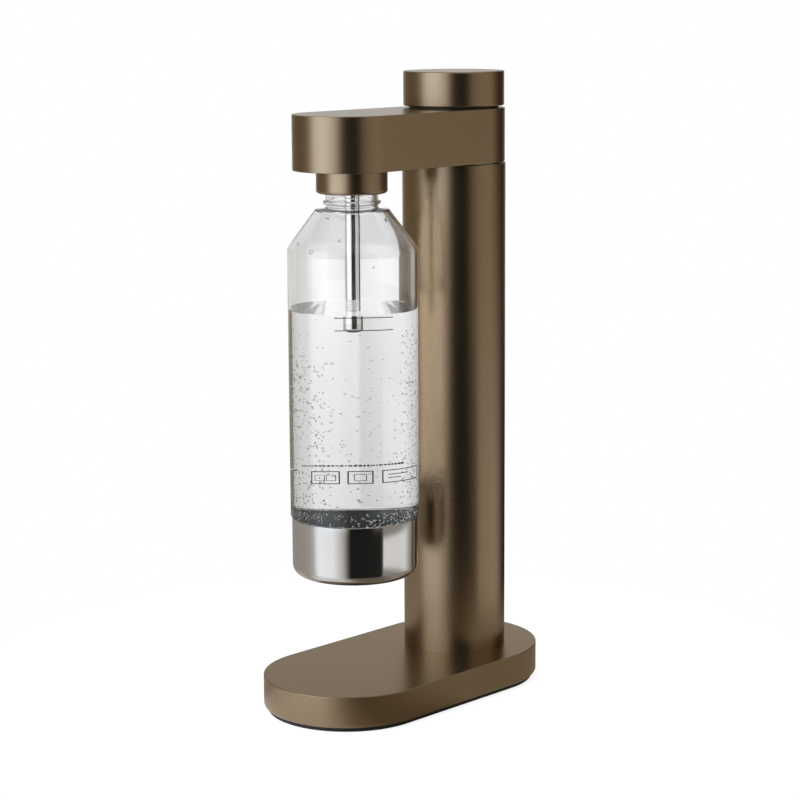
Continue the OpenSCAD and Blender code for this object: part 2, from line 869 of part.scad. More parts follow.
module thread_insert() {
    color(dark) at_bottle() {
        difference() {
            union() {
                post(insert_r, insert_z, insert_flange_top);
                post(insert_flange_r, floor_top, insert_flange_top);
            }
            post(insert_bore_r, insert_z - over, insert_flange_top + over);
            nozzle_holes() post(screw_r + fit, floor_top - over, insert_flange_top + over);
        }
        around(thread_starts, 0) intersection() {
            thread_lug(insert_bore_r + 1, neck_r + air, insert_lug_z);
            post(insert_r - 0.5, insert_z, insert_flange_top);
        }
    }
}

module bottle_collar() {
    color(bronze) at_bottle() rotate_extrude() difference() {
        edge_profile(collar_r, collar_z, floor_z, 0, collar_edge_r);
        translate([0, collar_z - over]) square([collar_lip_r, collar_h * 2]);
        translate([0, insert_z - fit]) square([insert_r + fit, collar_h * 2]);
    }
}

module bottle_seal() {
    color([0.9, 0.9, 0.9]) at_bottle() ring(seal_r, nozzle_boss_r + air, seal_z, seal_top - air / 2);
}

module carbonation_tube() {
    color(steel) at_bottle() ring(tube_r, tube_bore_d / 2, tube_end, seal_top + tube_socket);
}

module nozzle_tip() {
    color(steel) at_bottle() rotate_extrude() difference() {
        union() {
            edge_profile(tube_r, tube_end - tip_h, tube_end, 0, tube_r / 2);
            translate([0, tube_end - over]) square([tube_bore_d / 2 - fit, tip_plug_h + over]);
        }
        translate([0, tube_end - tip_h - over]) square([jet_r, tip_h + tip_plug_h + 2 * over]);
    }
}

module button_guide() {
    guide_r = cap_bore_r - fit;
    color(dark) at_column() difference() {
        post(guide_r, arm_top, arm_top + guide_h);
        post(guide_r - guide_wall, web_top, arm_top + guide_h + over);
        post(plunger_hole_r + 1.5, arm_top - over, web_z);
        post(plunger_r + fit, arm_top, web_top + over);
        guide_holes() post(screw_r + fit, arm_top - over, web_top + over);
    }
}

module guide_screws() {
    color(steel) at_column() guide_holes()
        screw_down(web_top, screw_head_h, web_top - arm_top + arm_top_t);
}

module button_cap() {
    color(bronze) at_column() rotate_extrude() {
        difference() {
            edge_profile(cap_r, cap_z, cap_top, cap_edge_r, cap_edge_r);
            translate([0, cap_z - over]) square([cap_bore_r, cap_ceiling - cap_z + over]);
        }
        translate([tenon_r + fit, cap_ceiling - boss_h]) square([boss_r - tenon_r - fit, boss_h + over]);
    }
}

module plunger() {
    color(steel) at_column() {
        post(tip_r, valve_top, plunger_step_z);
        post(plunger_r, plunger_step_z, cap_ceiling - boss_h);
        post(tenon_r, cap_ceiling - boss_h, cap_ceiling);
        post(stop_r, web_z - air - stop_h, web_z - air);
    }
}

module button_spring() {
    color(steel) at_column() coil_spring(spring_r, spring_wire / 2, web_top, cap_ceiling - air, spring_turns);
}

// Points of an arc in the upright section
function arc(cx, cz, r, a0, a1, steps = 8) = [
    for (i = [0 : steps]) let (a = a0 + (a1 - a0) * i / steps) [cx + r * cos(a), cz + r * sin(a)]
];

// Outline of the bottle from the neck's lip down to its foot; inset moves it inwards for the inner skin
module bottle_outline(inset) {
    cone = atan((bottle_r - shoulder_d / 2) / shoulder_h);
    side = bottle_r - inset;
    corner_r = shoulder_corner_r - inset / 2;
    // Where the rounded corner between cone and side has its centre
    corner_z = shoulder_foot - (shoulder_corner_r + bottle_wall / 2) * tan(cone / 2) + bottle_wall / 4;
    corner_drop = inset * tan(cone / 2);
    top_r = shoulder_d / 2 - inset * 1.1;
    foot_r = bottle_foot_r - inset;
    polygon(concat(
        [[0, neck_top + (inset > 0 ? over : 0)]],
        [[neck_r - (inset > 0 ? neck_wall : 0), neck_top + (inset > 0 ? over : 0)]],
        [[neck_r - (inset > 0 ? neck_wall : 0), shoulder_top + 2 - inset]],
        [[top_r - 1, shoulder_top + 0.4 - inset]],
        [[top_r, shoulder_top - inset * 0.6]],
        arc(side - corner_r, corner_z - corner_drop, corner_r, cone, 0),
        [[side, cup_rim + 0.5 + inset]],
        [[foot_r, cup_rim + 0.5 - inset]],
        arc(foot_r - foot_corner_r, bottle_foot_z + foot_corner_r + inset, foot_corner_r, 0, -90),
        [[foot_ring_r, bottle_foot_z + inset]],
        [[0, bottle_foot_z + punt_h + inset]]
    ));
}

module bottle_shell() {
    bead_z = shoulder_top + bead_lift;
    bead_tip_r = bead_h / 2;
    bead_mid_r = bead_d / 2 - bead_tip_r;
    color(clear) at_bottle() {
        rotate_extrude() difference() {
            union() {
                bottle_outline(0);
                translate([neck_r - 1, bead_z]) square([bead_mid_r - neck_r + 1, bead_h]);
                translate([bead_mid_r, bead_z + bead_tip_r]) circle(bead_tip_r);
            }
            bottle_outline(bottle_wall);
        }
        around(thread_starts, 0) thread_lug(neck_r - 0.5, insert_bore_r - 0.4, neck_lug_z);
    }
}

module bottle_cup() {
    inner_r = cup_r - cup_wall;
    color(steel) at_bottle() rotate_extrude() difference() {
        edge_profile(cup_r, cup_z + cup_foot_t, cup_rim, 0, cup_corner_r);
        edge_profile(inner_r, cup_z + cup_foot_t + cup_wall, cup_rim + over, 0, cup_corner_r - cup_wall);
    }
}

module cup_foot() {
    foot_r = cup_r - cup_corner_r - cup_foot_inset;
    color(dark) at_bottle() ring(foot_r, foot_r - cup_foot_w, cup_z, cup_z + cup_foot_t);
}

base_slab();
base_sole();
base_cover();
cover_screws();
ballast();
ballast_screws();
column_tube();
column_flange();
flange_screws();
column_spigot();
spigot_screws();
cylinder_guide();
gas_cylinder();
cylinder_valve();
valve_pin();
cylinder_hatch();
hatch_pad();
arm_shell();
arm_floor();
arm_screws();
valve_block();
valve_gasket();
plunger_seal();
plunger_gland();
head_screws();
gas_pipe();
pipe_nuts();
nozzle_block();
relief_body();
relief_poppet();
relief_spring();
thread_insert();
bottle_collar();
bottle_seal();
carbonation_tube();
nozzle_tip();
button_guide();
guide_screws();
button_cap();
plunger();
button_spring();
bottle_shell();
bottle_cup();
cup_foot();
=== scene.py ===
"""Looks of the sparkling water maker: its finishes, its clear bottle with water and bubbles, the
studio and the camera."""

import json
import math
import random

import bmesh
import bpy
from mathutils import Matrix, Vector


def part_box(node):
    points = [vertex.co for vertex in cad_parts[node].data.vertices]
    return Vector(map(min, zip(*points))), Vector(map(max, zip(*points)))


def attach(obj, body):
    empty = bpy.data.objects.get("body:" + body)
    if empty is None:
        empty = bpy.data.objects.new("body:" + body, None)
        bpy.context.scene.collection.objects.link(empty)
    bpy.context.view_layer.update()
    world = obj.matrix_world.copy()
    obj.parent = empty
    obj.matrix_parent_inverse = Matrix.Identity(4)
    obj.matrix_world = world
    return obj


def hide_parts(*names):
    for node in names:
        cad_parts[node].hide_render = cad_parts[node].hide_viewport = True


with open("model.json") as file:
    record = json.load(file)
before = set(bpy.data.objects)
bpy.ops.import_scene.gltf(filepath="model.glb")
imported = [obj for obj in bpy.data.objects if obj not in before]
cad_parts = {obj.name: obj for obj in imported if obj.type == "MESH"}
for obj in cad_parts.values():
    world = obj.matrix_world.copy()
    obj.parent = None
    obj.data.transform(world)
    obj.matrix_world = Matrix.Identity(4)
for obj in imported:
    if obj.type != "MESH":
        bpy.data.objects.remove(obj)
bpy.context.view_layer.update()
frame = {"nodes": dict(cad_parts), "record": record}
MM = 0.001
CLOSE = 1e-7  # lengths below this count as nothing, in metres

# Camera: its place in metres, the way it faces, and its lens and sensor in millimetres
CAMERA_PLACE = Vector((1.03244, -1.07211, 0.47338))
CAMERA_AZIMUTH = math.radians(43.945)
CAMERA_PITCH = math.radians(10.358)
CAMERA_ROLL = math.radians(-0.3215)
CAMERA_LENS = 101.33
SENSOR_WIDTH = 36
NEAR_CLIP = 0.01
IMAGE_SIZE = 800
HALF_PIXEL = 0.5 / IMAGE_SIZE

# Level directions from the object: towards the camera, and to the right of the picture
TO_CAMERA = Vector((math.sin(CAMERA_AZIMUTH), -math.cos(CAMERA_AZIMUTH), 0))
TO_RIGHT = Vector((math.cos(CAMERA_AZIMUTH), math.sin(CAMERA_AZIMUTH), 0))

# Bottle, cup and tube: the frame gives the axis, the heights and the outer radii
shell_low, shell_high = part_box("bottle_shell")
cup_low, cup_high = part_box("bottle_cup")
tube_low, tube_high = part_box("carbonation_tube")
BOTTLE_AXIS = Vector(
    ((shell_low.x + shell_high.x) / 2, (shell_low.y + shell_high.y) / 2, 0)
)
BODY_R = (shell_high.x - shell_low.x) / 2
WALL = 1.5 * MM
NECK_R = 17.1 * MM
NECK_WALL = 2.4 * MM
NECK_TOP = shell_high.z
LIP_BEVEL = 1.2 * MM
SHOULDER_TOP = NECK_TOP - 21.1 * MM
SHOULDER_R = 24.0 * MM
SHOULDER_FOOT = SHOULDER_TOP - 24.5 * MM
BEAD_R = 18.75 * MM
BEAD_LOW = SHOULDER_TOP + 3.5 * MM
BEAD_HIGH = BEAD_LOW + 2.5 * MM
CUP_R = (cup_high.x - cup_low.x) / 2
CUP_WALL = 0.8 * MM
CUP_RIM = cup_high.z
CUP_FLOOR = cup_low.z
FOOT_R = CUP_R - CUP_WALL - 0.05 * MM
FOOT_Z = shell_low.z
DISH_R = 20 * MM
DISH_DEPTH = 9 * MM
WATER_TOP = 269.2 * MM
TUBE_R = (tube_high.x - tube_low.x) / 2
TUBE_BORE_R = 3.6 * MM

# Thread lugs on the neck, with their lead and the angle that each one spans
LUG_COUNT = 4
LUG_LEAD = 16 * MM
LUG_SPAN = math.radians(40)
LUG_Z = NECK_TOP - 3.9 * MM
LUG_HALF = 0.75 * MM
LUG_ROOT = NECK_R - 0.4 * MM
LUG_CREST = NECK_R + 1.4 * MM
LUG_BEVEL = 0.3 * MM
LUG_STEPS = 10

# Water: its distance from the wall, and how far it climbs there
WATER_GAP = 0.01 * MM
WATER_CLIMB = 0.35 * MM
# How far inward from the wall, in millimetres, and the part of the climb there
MENISCUS = ((2.2, 0), (1.2, 0.12), (0.5, 0.4), (0, 1))

# Refractive indices
PLASTIC_IOR = 1.55
WATER_IOR = 1.333

# Facets round a turned shape
SEGMENTS = 160
TUBE_SEGMENTS = 96

# Most values of a noise texture lie between these
NOISE_LOW, NOISE_HIGH = 0.3, 0.7
# A noise texture's values at which a dark tone ends and a light one is full
TONE_PLACES = (0.35, 0.65)


def tree_of(name):
    """A new material, and its nodes, links and main shader."""
    mat = bpy.data.materials.new(name)
    mat.use_nodes = True
    nodes, links = mat.node_tree.nodes, mat.node_tree.links
    return mat, nodes, links, nodes["Principled BSDF"]


def noise(nodes, links, scale, detail=4.0, stretch=(1, 1, 1)):
    """Noise over the object's own metres."""
    place = nodes.new("ShaderNodeTexCoord")
    mapping = nodes.new("ShaderNodeMapping")
    mapping.inputs["Scale"].default_value = stretch
    texture = nodes.new("ShaderNodeTexNoise")
    texture.inputs["Scale"].default_value = scale
    texture.inputs["Detail"].default_value = detail
    links.new(place.outputs["Object"], mapping.inputs["Vector"])
    links.new(mapping.outputs["Vector"], texture.inputs["Vector"])
    return texture.outputs["Fac"]


def spread(nodes, links, value, low, high):
    """Maps a noise value to the range low to high."""
    node = nodes.new("ShaderNodeMapRange")
    node.inputs["From Min"].default_value = NOISE_LOW
    node.inputs["From Max"].default_value = NOISE_HIGH
    node.inputs["To Min"].default_value = low
    node.inputs["To Max"].default_value = high
    links.new(value, node.inputs["Value"])
    return node.outputs["Result"]


def two_tone(nodes, links, value, dark, light):
    """Mixes two colours by a noise value."""
    ramp = nodes.new("ShaderNodeValToRGB")
    for element, place, tone in zip(ramp.color_ramp.elements, TONE_PLACES, (dark, light)):
        element.position = place
        element.color = (*tone, 1)
    links.new(value, ramp.inputs["Fac"])
    return ramp.outputs["Color"]


def bump(nodes, links, bsdf, height, depth):
    """Relief of the given depth, in metres."""
    node = nodes.new("ShaderNodeBump")
    node.inputs["Strength"].default_value = 1.0
    node.inputs["Distance"].default_value = depth
    links.new(height, node.inputs["Height"])
    links.new(node.outputs["Normal"], bsdf.inputs["Normal"])


def metal(name, dark, light, rough, grain=900, relief=0.004 * MM, stretch=(1, 1, 1)):
    """Metal with a fine grain in its colour, gloss and relief."""
    mat, nodes, links, bsdf = tree_of(name)
    bsdf.inputs["Metallic"].default_value = 1.0
    fine = noise(nodes, links, grain, stretch=stretch)
    broad = noise(nodes, links, scale=14, detail=2.0)
    links.new(two_tone(nodes, links, broad, dark, light), bsdf.inputs["Base Color"])
    links.new(spread(nodes, links, fine, *rough), bsdf.inputs["Roughness"])
    bump(nodes, links, bsdf, fine, relief)
    return mat


def dull(name, dark, light, rough, grain=700, relief=0.02 * MM):
    """Rubber, plastic or foam with a moulded grain."""
    mat, nodes, links, bsdf = tree_of(name)
    fine = noise(nodes, links, grain)
    broad = noise(nodes, links, scale=40, detail=2.0)
    links.new(two_tone(nodes, links, broad, dark, light), bsdf.inputs["Base Color"])
    links.new(spread(nodes, links, fine, *rough), bsdf.inputs["Roughness"])
    bump(nodes, links, bsdf, fine, relief)
    return mat


def clear(name, ior, ripple=0.0):
    """Clear plastic or water, with a slow ripple where the wall is moulded."""
    mat, nodes, links, bsdf = tree_of(name)
    bsdf.inputs["Base Color"].default_value = (1, 1, 1, 1)
    bsdf.inputs["Roughness"].default_value = 0.0
    bsdf.inputs["IOR"].default_value = ior
    bsdf.inputs["Transmission Weight"].default_value = 1.0
    if ripple:
        waves = noise(nodes, links, scale=45, detail=1.0, stretch=(1, 1, 0.35))
        bump(nodes, links, bsdf, waves, ripple)
    return mat


def painted_shade_by_height(mat, high, low, shade):
    """Paints shade on a clear material: dims it from nothing at height high to the given shade at
    height low.
    """
    nodes, links = mat.node_tree.nodes, mat.node_tree.links
    parts = nodes.new("ShaderNodeSeparateXYZ")
    links.new(nodes.new("ShaderNodeTexCoord").outputs["Object"], parts.inputs[0])
    depth = nodes.new("ShaderNodeMapRange")
    depth.inputs["From Min"].default_value = low
    depth.inputs["From Max"].default_value = high
    links.new(parts.outputs["Z"], depth.inputs["Value"])
    ramp = nodes.new("ShaderNodeValToRGB")
    ramp.color_ramp.elements[0].color = (*shade, 1)
    ramp.color_ramp.elements[1].color = (1, 1, 1, 1)
    links.new(depth.outputs["Result"], ramp.inputs["Fac"])
    links.new(ramp.outputs["Color"], nodes["Principled BSDF"].inputs["Base Color"])


def air_in_water(name):
    """The skin of a bubble, seen from the water: light passes from the water into air."""
    mat, nodes, links, bsdf = tree_of(name)
    glass = nodes.new("ShaderNodeBsdfGlass")
    glass.inputs["IOR"].default_value = 1 / WATER_IOR
    glass.inputs["Roughness"].default_value = 0.0
    links.new(glass.outputs["BSDF"], nodes["Material Output"].inputs["Surface"])
    nodes.remove(bsdf)
    return mat


def unseen(name):
    """The water's side at the wall, where the wall's own material already bends the light."""
    mat, nodes, links, bsdf = tree_of(name)
    see = nodes.new("ShaderNodeBsdfTransparent")
    links.new(see.outputs["BSDF"], nodes["Material Output"].inputs["Surface"])
    nodes.remove(bsdf)
    return mat


# Each finish: its name, two tones, the range of its roughness, and where they differ from the usual
# ones, the grain, the relief and the stretch of the grain
MATERIALS = {
    "bronze": metal(
        "satin_bronze",
        (0.352, 0.264, 0.171),
        (0.368, 0.276, 0.179),
        (0.27, 0.31),
        relief=0.0012 * MM,
    ),
    "sole_rubber": dull(
        "sole_rubber", (0.012, 0.012, 0.012), (0.022, 0.022, 0.022), (0.55, 0.75)
    ),
    "black_plastic": dull(
        "black_plastic", (0.02, 0.02, 0.022), (0.035, 0.035, 0.038), (0.4, 0.55)
    ),
    "steel": metal("zinc_steel", (0.5, 0.5, 0.51), (0.6, 0.6, 0.6), (0.25, 0.4)),
    "polished_steel": metal(
        "polished_steel",
        (0.62, 0.61, 0.595),
        (0.66, 0.65, 0.635),
        (0.05, 0.08),
        grain=1200,
        relief=0.001 * MM,
        stretch=(1, 1, 8),
    ),
    "plain_aluminium": metal(
        "machined_aluminium", (0.62, 0.62, 0.63), (0.72, 0.72, 0.73), (0.25, 0.4)
    ),
    "cylinder_grey": metal(
        "cylinder_paint", (0.36, 0.37, 0.39), (0.42, 0.43, 0.45), (0.35, 0.5)
    ),
    "ballast_iron": metal(
        "cast_iron",
        (0.12, 0.115, 0.11),
        (0.2, 0.19, 0.18),
        (0.5, 0.8),
        grain=300,
        relief=0.1 * MM,
    ),
    "brass": metal("turned_brass", (0.66, 0.5, 0.24), (0.74, 0.58, 0.3), (0.18, 0.32)),
    "seal_rubber": dull("seal_rubber", (0.015, 0.015, 0.015), (0.03, 0.03, 0.03), (0.45, 0.6)),
    "silicone": dull("silicone", (0.62, 0.62, 0.6), (0.7, 0.7, 0.68), (0.4, 0.55)),
    "foam": dull(
        "foam", (0.04, 0.04, 0.04), (0.09, 0.09, 0.09), (0.85, 1.0), grain=900, relief=0.15 * MM
    ),
    "clear_plastic": clear("clear_plastic", PLASTIC_IOR, ripple=0.02 * MM),
}
TUBE_STEEL = metal(
    "mirror_steel",
    (0.72, 0.72, 0.71),
    (0.76, 0.76, 0.75),
    (0.02, 0.035),
    grain=1500,
    relief=0.0004 * MM,
)
CUP_INSIDE = metal("cup_inside", (0.5, 0.52, 0.53), (0.58, 0.6, 0.61), (0.35, 0.5))
# Painted shade: the cup's underside is near-black steel
CUP_PAINTED_SHADE = metal("cup_underside_painted_shade", (0.022, 0.022, 0.022), (0.032, 0.032, 0.032), (0.25, 0.35))
PLASTIC_TO_WATER = clear("plastic_on_water", PLASTIC_IOR / WATER_IOR, ripple=0.01 * MM)
# Painted shade on the bottle wall over the water: darker towards the bottom
painted_shade_by_height(PLASTIC_TO_WATER, high=270 * MM, low=130 * MM, shade=(0.828, 0.833, 0.84))
WATER = clear("water", WATER_IOR)
WATER_SIDE = unseen("water_side")
BUBBLE = air_in_water("bubble_skin")
INK = dull(
    "ink", (0.02, 0.022, 0.024), (0.035, 0.037, 0.04), (0.4, 0.6), grain=1500, relief=0.002 * MM
)


def dress_nodes():
    """Gives each CAD node the finish of its slot in the record."""
    for sub in frame["record"]["subparts"]:
        node = frame["nodes"][sub["node"]]
        for held in node.material_slots:
            held.material = MATERIALS[sub["material_slot"]]


def rounded(corners, steps=6):
    """The section through these corners (r, z, rounding), each replaced by its arc."""
    out = []
    for i, (r, z, radius) in enumerate(corners):
        here = Vector((r, z))
        if radius <= 0 or i in (0, len(corners) - 1):
            out.append((r, z))
            continue
        before = (Vector(corners[i - 1][:2]) - here).normalized()
        after = (Vector(corners[i + 1][:2]) - here).normalized()
        half = before.angle(after) / 2
        reach = radius / math.tan(half)
        centre = here + (before + after).normalized() * (radius / math.sin(half))
        first, last = here + before * reach - centre, here + after * reach - centre
        turn = first.angle_signed(last)
        for k in range(steps + 1):
            a = -turn * k / steps
            c, s = math.cos(a), math.sin(a)
            out.append(
                (centre.x + first.x * c - first.y * s, centre.y + first.x * s + first.y * c)
            )
    return out


def finish_mesh(name, bm, mats, smooth_angle=35):
    """Makes the object, with smooth faces and sharp edges above the given angle."""
    bmesh.ops.recalc_face_normals(bm, faces=bm.faces)
    mesh = bpy.data.meshes.new(name)
    for f in bm.faces:
        f.smooth = True
    bm.to_mesh(mesh)
    bm.free()
    mesh.set_sharp_from_angle(angle=math.radians(smooth_angle))
    for m in mats:
        mesh.materials.append(m)
    obj = bpy.data.objects.new(name, mesh)
    bpy.context.scene.collection.objects.link(obj)
    return obj


def ring(bm, axis, r, z, segments):
    """Corners of a level circle about the upright axis, all the same one where it has no width."""
    if r < CLOSE:
        return [bm.verts.new((axis.x, axis.y, z))] * segments
    angles = [2 * math.pi * k / segments for k in range(segments)]
    return [
        bm.verts.new((axis.x + r * math.cos(a), axis.y + r * math.sin(a), z)) for a in angles
    ]


def revolve(bm, section, axis, slot_of=None, closed=False, segments=SEGMENTS):
    """Adds the section turned about the upright axis, each of its lines with its material slot."""
    rings = [ring(bm, axis, r, z, segments) for r, z in section]
    lines = list(range(len(rings) - 1)) + ([len(rings) - 1] if closed else [])
    for i in lines:
        a, b = rings[i], rings[(i + 1) % len(rings)]
        for k in range(segments):
            n = (k + 1) % segments
            corners = list(dict.fromkeys((a[k], a[n], b[n], b[k])))
            if len(corners) > 2:
                face = bm.faces.new(corners)
                if slot_of:
                    face.material_index = slot_of(i)


def bar(bm, sections):
    """Joins four-cornered sections into one closed bar."""
    for p, q in zip(sections, sections[1:]):
        for k in range(4):
            n = (k + 1) % 4
            bm.faces.new((p[k], p[n], q[n], q[k]))
    bm.faces.new(sections[0])
    bm.faces.new(reversed(sections[-1]))


def bottle_sections():
    """Outer and inner section of the bottle, from the lip down to the axis."""
    neck, body, foot = NECK_R - NECK_WALL, BODY_R - WALL, FOOT_R - WALL
    outer = rounded(
        [
            # Lip and neck
            (neck + LIP_BEVEL, NECK_TOP, 0),
            (NECK_R, NECK_TOP, 0.6 * MM),
            # Support bead
            (NECK_R, BEAD_HIGH, 0.3 * MM),
            (BEAD_R, BEAD_HIGH, 0.9 * MM),
            (BEAD_R, BEAD_LOW, 0.9 * MM),
            (NECK_R, BEAD_LOW, 0.3 * MM),
            # Shoulder and body
            (NECK_R, SHOULDER_TOP + 1.1 * MM, 0.9 * MM),
            (SHOULDER_R - 0.1 * MM, SHOULDER_TOP + 0.3 * MM, 0.4 * MM),
            (BODY_R, SHOULDER_FOOT, 8 * MM),
            # Step down into the cup, and foot with its dished bottom
            (BODY_R, CUP_RIM + 0.5 * MM, 0.5 * MM),
            (FOOT_R, CUP_RIM + 0.3 * MM, 0.3 * MM),
            (FOOT_R, FOOT_Z, 10 * MM),
            (DISH_R, FOOT_Z, 5 * MM),
            (0, FOOT_Z + DISH_DEPTH, 0),
        ]
    )
    inner = rounded(
        [
            # Lip and neck
            (neck + LIP_BEVEL, NECK_TOP, 0),
            (neck, NECK_TOP, 0.6 * MM),
            # Shoulder, with a small step at its edge, and body
            (neck, SHOULDER_TOP - 0.4 * MM, 2.2 * MM),
            (SHOULDER_R - 2.6 * MM, SHOULDER_TOP - 1.1 * MM, 0.15 * MM),
            (SHOULDER_R - 1.9 * MM, SHOULDER_TOP - 0.9 * MM, 0.3 * MM),
            (SHOULDER_R - 1.9 * MM, SHOULDER_TOP - 1.9 * MM, 0.3 * MM),
            (body, SHOULDER_FOOT - 0.8 * MM, 7.2 * MM),
            # Step down into the cup, and foot with its dished bottom
            (body, CUP_RIM + 2 * MM, 1.2 * MM),
            (foot, CUP_RIM - 1 * MM, 1.2 * MM),
            (foot, FOOT_Z + WALL, 9 * MM),
            (DISH_R, FOOT_Z + WALL, 5 * MM),
            (0, FOOT_Z + DISH_DEPTH + WALL, 0),
        ]
    )
    return outer, inner


def with_level(section, z):
    """The same section with a point added where it crosses height z."""
    out = []
    for a, b in zip(section, section[1:]):
        out.append(a)
        if (a[1] - z) * (b[1] - z) < 0:
            t = (z - a[1]) / (b[1] - a[1])
            out.append((a[0] + (b[0] - a[0]) * t, z))
    return out + [section[-1]]


def radius_at(section, z):
    """Radius of a section at height z, on its way down."""
    for a, b in zip(section, section[1:]):
        if a[1] >= z >= b[1] and a[1] > b[1]:
            return a[0] + (b[0] - a[0]) * (z - a[1]) / (b[1] - a[1])
    raise ValueError(f"no radius at {z}")


def thread_lugs(bm):
    """Short lugs round the neck, tilted along the thread."""
    profile = (
        (LUG_ROOT, -LUG_HALF),
        (LUG_CREST, -LUG_HALF + LUG_BEVEL),
        (LUG_CREST, LUG_HALF - LUG_BEVEL),
        (LUG_ROOT, LUG_HALF),
    )
    for lug in range(LUG_COUNT):
        sections = []
        for i in range(LUG_STEPS + 1):
            part = i / LUG_STEPS - 0.5
            a = math.radians(360 / LUG_COUNT * lug) + LUG_SPAN * part
            z = LUG_Z + LUG_LEAD * part * LUG_SPAN / (2 * math.pi)
            out = Vector((math.cos(a), math.sin(a), 0))
            sections.append(
                [bm.verts.new(BOTTLE_AXIS + out * r + Vector((0, 0, z + h))) for r, h in profile]
            )
        bar(bm, sections)


def make_bottle():
    """Clear bottle as one closed wall, which under water bends light as plastic on water."""
    outer, inner = bottle_sections()
    inner = with_level(inner, WATER_TOP)
    section = list(reversed(outer)) + inner[1:]
    heights = [z for r, z in section]

    def slot_of(i):
        inside = i >= len(outer) - 1
        return int(inside and max(heights[i], heights[i + 1]) <= WATER_TOP + CLOSE)

    bm = bmesh.new()
    revolve(bm, section, BOTTLE_AXIS, slot_of)
    thread_lugs(bm)
    mats = [MATERIALS["clear_plastic"], PLASTIC_TO_WATER]
    obj = finish_mesh("bottle_glass", bm, mats, smooth_angle=50)
    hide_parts("bottle_shell")
    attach(obj, "bottle")
    return inner


def make_water(inner):
    """Water as one closed body just inside the wall, which it climbs a little at its top."""
    wall_r = radius_at(inner, WATER_TOP) - WATER_GAP
    steps = 12
    top = [(wall_r * i / steps, WATER_TOP) for i in range(steps)]
    top += [(wall_r - inward * MM, WATER_TOP + part * WATER_CLIMB) for inward, part in MENISCUS]
    side = [
        (max(r - WATER_GAP, 0), z + WATER_GAP) for r, z in inner if z < WATER_TOP - CLOSE
    ]
    bm = bmesh.new()
    section = top + [(wall_r, WATER_TOP)] + side
    revolve(bm, section, BOTTLE_AXIS, lambda i: int(i >= len(top) - 1))
    obj = finish_mesh("water", bm, [WATER, WATER_SIDE], smooth_angle=60)
    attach(obj, "bottle")


def ball_template(level):
    """Corners and faces of a ball of radius 1, finer at a higher level."""
    bm = bmesh.new()
    bmesh.ops.create_icosphere(bm, subdivisions=level, radius=1)
    corners = [v.co.copy() for v in bm.verts]
    faces = [[v.index for v in f.verts] for f in bm.faces]
    bm.free()
    return corners, faces


SMALL_BALL = ball_template(1)
LARGE_BALL = ball_template(2)
# How far a bubble's middle is from the wall, and a rising one's width and height, all as parts of
# its radius
WALL_DISTANCE = 1.15
BUBBLE_WIDE, BUBBLE_HIGH = 1.15, 0.8
# How far a drop's middle is from the wall, and its height as a part of its width
DROP_SINK = 0.2 * MM
DROP_HIGH = 1.15


def add_ball(bm, centre, scale, template):
    """Adds a ball with this radius along each axis."""
    corners, faces = template
    made = [
        bm.verts.new(centre + Vector((c.x * scale[0], c.y * scale[1], c.z * scale[2])))
        for c in corners
    ]
    for f in faces:
        bm.faces.new([made[i] for i in f])


def around_bottle(angle, radius, z):
    """A point by its angle from the camera's side, positive to the right of the picture."""
    a = math.radians(angle)
    out = TO_CAMERA * math.cos(a) + TO_RIGHT * math.sin(a)
    return BOTTLE_AXIS + out * radius + Vector((0, 0, z))


def make_bubbles(inner):
    """Bubbles of gas on the wall and rising through the water."""
    draw = random.Random(7)
    bm = bmesh.new()
    low = CUP_RIM + 3 * MM
    at_rim = (CUP_RIM - 1.0 * MM, CUP_RIM + 9 * MM)
    # How many, between which angles from the camera's side, between which heights, and how large
    for count, angles, heights, sizes in (
        (290, (-80, -26), (low, WATER_TOP - 32 * MM), (0.45 * MM, 0.85 * MM)),
        (70, (-85, -45), (WATER_TOP - 45 * MM, WATER_TOP - 10 * MM), (0.3 * MM, 0.6 * MM)),
        (270, (48, 88), (low, WATER_TOP - 8 * MM), (0.45 * MM, 0.8 * MM)),
        (26, (-30, 45), (low, WATER_TOP - 20 * MM), (0.3 * MM, 0.6 * MM)),
        (120, (100, 260), (low, WATER_TOP - 6 * MM), (0.3 * MM, 0.6 * MM)),
        (150, (10, 85), at_rim, (0.4 * MM, 0.7 * MM)),
        (90, (-80, 10), at_rim, (0.4 * MM, 0.7 * MM)),
    ):
        for _ in range(count):
            z = draw.uniform(*heights)
            r = draw.uniform(*sizes)
            off_axis = radius_at(inner, z) - r * WALL_DISTANCE
            place = around_bottle(draw.uniform(*angles), off_axis, z)
            add_ball(bm, place, (r, r, r), SMALL_BALL)
    # The same with the distance from the axis in front of the heights, for those that rise
    free = (4 * MM, 33 * MM), (CUP_RIM + 6 * MM, WATER_TOP - 22 * MM)
    at_right = (8 * MM, 30 * MM), (CUP_RIM + 40 * MM, WATER_TOP - 20 * MM)
    for count, angles, (radii, heights), sizes in (
        (60, (-180, 180), free, (0.5 * MM, 0.95 * MM)),
        (24, (20, 80), at_right, (0.5 * MM, 0.9 * MM)),
    ):
        for _ in range(count):
            r = draw.uniform(*sizes)
            angle, off_axis, z = (draw.uniform(*ends) for ends in (angles, radii, heights))
            place = around_bottle(angle, off_axis, z)
            add_ball(bm, place, (r * BUBBLE_WIDE, r * BUBBLE_WIDE, r * BUBBLE_HIGH), LARGE_BALL)
    obj = finish_mesh("bubbles", bm, [BUBBLE], smooth_angle=180)
    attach(obj, "bottle")


